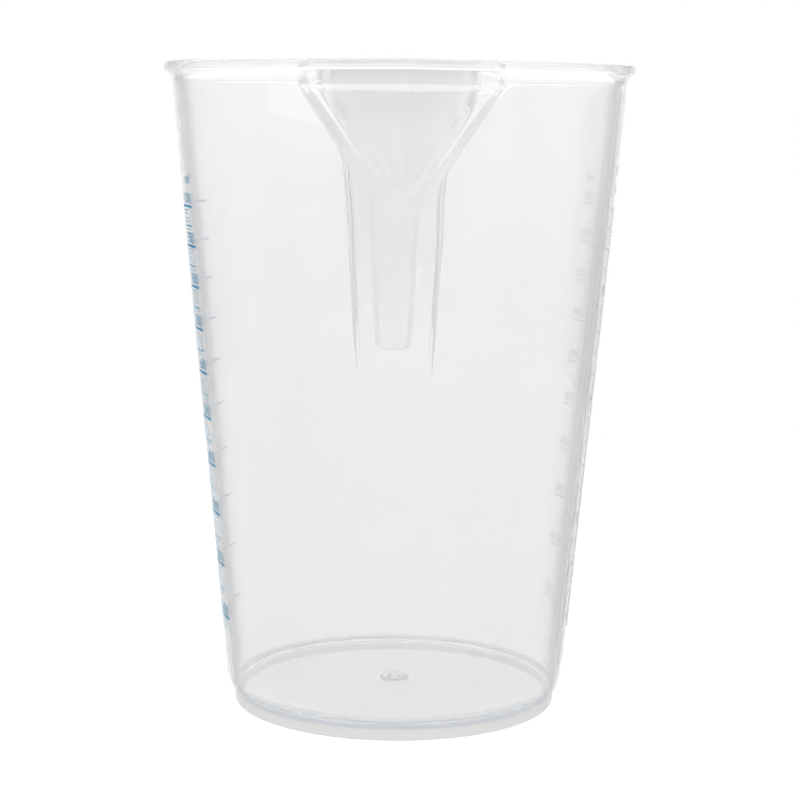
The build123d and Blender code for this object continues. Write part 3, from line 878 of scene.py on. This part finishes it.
def lettering(scene, side, words, height, angle, z, inner, outer):
    """Words on the wall that end at an angle, wrapped round the cone: distance across becomes an angle."""
    curve = bpy.data.curves.new("lettering", "FONT")
    curve.body = words
    curve.size = height / CAPITAL_HEIGHT
    curve.align_x = "RIGHT"
    curve.extrude = (outer - inner) / 2
    curve.offset = -THINNER * curve.size
    curve.resolution_u = 3
    holder = bpy.data.objects.new("lettering", curve)
    scene.collection.objects.link(holder)
    bpy.context.view_layer.update()
    mesh = bpy.data.meshes.new_from_object(holder.evaluated_get(bpy.context.evaluated_depsgraph_get()))
    flat = np.empty(3 * len(mesh.vertices))
    mesh.vertices.foreach_get("co", flat)
    flat = flat.reshape(-1, 3)
    faces = [list(face.vertices) for face in mesh.polygons]
    bpy.data.objects.remove(holder)
    bpy.data.curves.remove(curve)
    bpy.data.meshes.remove(mesh)
    across = side * scene.scale_sizes.numeral_stretch * flat[:, 0] / Beaker(scene).cone(z, 0)
    out = (inner + outer) / 2 + flat[:, 2]
    return on_wall(scene, side, angle + across, z + flat[:, 1], out), faces


def joined(pieces):
    """Point arrays and face lists joined into one."""
    points, faces, count = [], [], 0
    for part_points, part_faces in pieces:
        points.append(part_points)
        faces += [[count + index for index in face] for face in part_faces]
        count += len(part_points)
    return np.vstack(points), faces


def volume_scale(scene, side, kinds, angle, inner, outer, count):
    """Marks, numerals and unit of one scale. The numerals end at the angle.

    The kinds are small, middle and numbered marks, each with its width and its two ends.
    """
    scale = scene.scale_sizes
    steps = np.arange(scale.first, scale.steps + 1)
    numbered = steps[steps % 10 == 0]
    pieces = []
    for marks, (width, *ends) in zip((steps[steps % 5 > 0], steps[steps % 10 == 5], numbered), kinds):
        z = mark_height(scene, marks)
        edges = [z - width / 2, z + width / 2, *(np.full(z.shape, end) for end in ends)]
        pieces.append(wall_strips(scene, side, *edges, inner, outer, count))
    above = kinds[2][0] / 2 + scale.numeral_gap
    words = [(str(10 * step), mark_height(scene, step) + above) for step in numbered]
    words.append(("ml", mark_height(scene, scale.steps) + above + UNIT_RISE * scale.numeral))
    for word, z in words:
        pieces.append(lettering(scene, side, word, scale.numeral, angle, z, inner, outer))
    return pieces


class CUP_OT_printed_scale(Operator):
    """Prints the blue scale: small, middle and numbered marks, numerals and the unit"""

    bl_idname = "cup.printed_scale"
    bl_label = "Printed Scale"

    def execute(self, context):
        scale = context.scene.scale_sizes
        kinds = (
            (scale.ink_small, scale.small_front, scale.small_back),
            (scale.ink_middle, scale.middle_front, scale.middle_back),
            (scale.ink_large, scale.large_front, scale.large_back),
        )
        pieces = volume_scale(context.scene, -1, kinds, scale.large_front, -scale.sunk, scale.ink, 15)
        replaced = ["ink_mid_marks", "ink_major_marks"]
        new_piece("printed_scale", *joined(pieces), "screen_printed_ink", replaced, "blue_ink")
        return {"FINISHED"}


class CUP_OT_raised_scale(Operator):
    """Moulds the raised scale: its panel, marks, numerals and litre fractions"""

    bl_idname = "cup.raised_scale"
    bl_label = "Raised Scale"

    def execute(self, context):
        scene = context.scene
        scale, raised = scene.scale_sizes, scene.raised_sizes
        low, high = (np.array([corner[2]]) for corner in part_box("scale_panel"))
        ends = [np.array([raised.panel_front]), np.array([raised.panel_back])]
        panel = wall_strips(scene, 1, low, high, *ends, -scale.sunk, raised.panel, 36)
        new_piece("raised_panel", *panel, "polypropylene_skin", ["scale_panel"])
        top, foot = raised.panel + raised.ridge, raised.panel - scale.sunk
        kinds = (
            (raised.ridge_small, raised.small_front, raised.small_back),
            (raised.ridge_small, raised.middle_front, raised.middle_back),
            (raised.ridge_large, raised.middle_front, raised.large_back),
        )
        pieces = volume_scale(scene, 1, kinds, raised.large_back, foot, top, 13)
        above = raised.ridge_large / 2 + scale.numeral_gap + scale.numeral
        fractions = ((scale.steps, "1"), (75, "\u00be"), (50, "\u00bd"), (25, "\u00bc"))
        words = [(word, mark_height(scene, step) + above) for step, word in fractions]
        words.append(("L", words[0][1] + UNIT_RISE * scale.numeral))
        for word, z in words:
            pieces.append(lettering(scene, 1, word, raised.fraction, raised.fraction_front, z, foot, top))
        material, replaced = "textured_moulded_polypropylene", ["raised_marks"]
        new_piece("raised_scale", *joined(pieces), material, replaced)
        return {"FINISHED"}


class CUP_OT_studio(Operator):
    """Sets up the paper floor, the lamps, the world and the camera"""

    bl_idname = "cup.studio"
    bl_label = "Studio"

    def execute(self, context):
        scene = context.scene
        angle = np.radians(np.arange(0, 360, 5))
        rim = PAPER_RADIUS * np.stack([np.cos(angle), np.sin(angle), 0 * angle], axis=-1)
        mesh = bpy.data.meshes.new("paper")
        mesh.from_pydata(rim.tolist(), [], [list(range(len(rim)))])
        mesh.materials.append(studio_paper(scene.cup_colours))
        paper = bpy.data.objects.new("paper", mesh)
        scene.collection.objects.link(paper)

        world = bpy.data.worlds.new("studio")
        scene.world = world
        world.use_nodes = True
        world.node_tree.nodes.clear()
        studio_room(world.node_tree)

        for name, place, width, power in LAMPS:
            data = bpy.data.lights.new(name, "AREA")
            data.energy = power
            data.size = width
            lamp = bpy.data.objects.new(name, data)
            scene.collection.objects.link(lamp)
            lamp.location = place
            direction = Vector(LAMP_TARGET) - lamp.location
            lamp.rotation_euler = direction.to_track_quat("-Z", "Y").to_euler()

        data = bpy.data.cameras.new("camera")
        data.lens = CAMERA_LENS
        data.sensor_width = CAMERA_SENSOR
        data.shift_x = CAMERA_SHIFT
        camera = bpy.data.objects.new("camera", data)
        scene.collection.objects.link(camera)
        place = Matrix.Translation((CAMERA_ASIDE, -CAMERA_DISTANCE, CAMERA_HEIGHT))
        heading = Matrix.Rotation(math.atan2(CAMERA_ASIDE, CAMERA_DISTANCE), 4, "Z")
        pitch = Matrix.Rotation(math.pi / 2 - CAMERA_DIP, 4, "X")
        roll = Matrix.Rotation(CAMERA_ROLL, 4, "Z")
        camera.matrix_world = place @ heading @ pitch @ roll
        scene.camera = camera
        scene.view_settings.view_transform = "Standard"
        return {"FINISHED"}


class CUP_PT_panel(Panel):
    """Lists the steps that build the cup"""

    bl_label = "Mixing Cup"
    bl_idname = "CUP_PT_panel"
    bl_space_type = "VIEW_3D"
    bl_region_type = "UI"
    bl_category = "Mixing Cup"

    def draw(self, context):
        for operator in OPERATORS:
            self.layout.operator(operator.bl_idname)


GROUPS = {
    "beaker_sizes": BeakerSizes,
    "spout_sizes": SpoutSizes,
    "handle_sizes": HandleSizes,
    "scale_sizes": ScaleSizes,
    "raised_sizes": RaisedSizes,
    "cup_colours": CupColours,
    "plastic_looks": PlasticLooks,
}
OPERATORS = (
    CUP_OT_finishes,
    CUP_OT_studio,
    CUP_OT_beaker,
    CUP_OT_grip,
    CUP_OT_printed_scale,
    CUP_OT_raised_scale,
)


def register():
    """Registers the property groups, the steps and the panel."""
    for name, group in GROUPS.items():
        bpy.utils.register_class(group)
        setattr(bpy.types.Scene, name, PointerProperty(type=group))
    for operator in OPERATORS:
        bpy.utils.register_class(operator)
    bpy.utils.register_class(CUP_PT_panel)


def unregister():
    """Takes back what register did, in the other order."""
    bpy.utils.unregister_class(CUP_PT_panel)
    for operator in reversed(OPERATORS):
        bpy.utils.unregister_class(operator)
    for name, group in reversed(GROUPS.items()):
        delattr(bpy.types.Scene, name)
        bpy.utils.unregister_class(group)


def main():
    register()
    for operator in OPERATORS:
        group, step = operator.bl_idname.split(".")
        getattr(getattr(bpy.ops, group), step)()


if __name__ == "__main__":
    main()
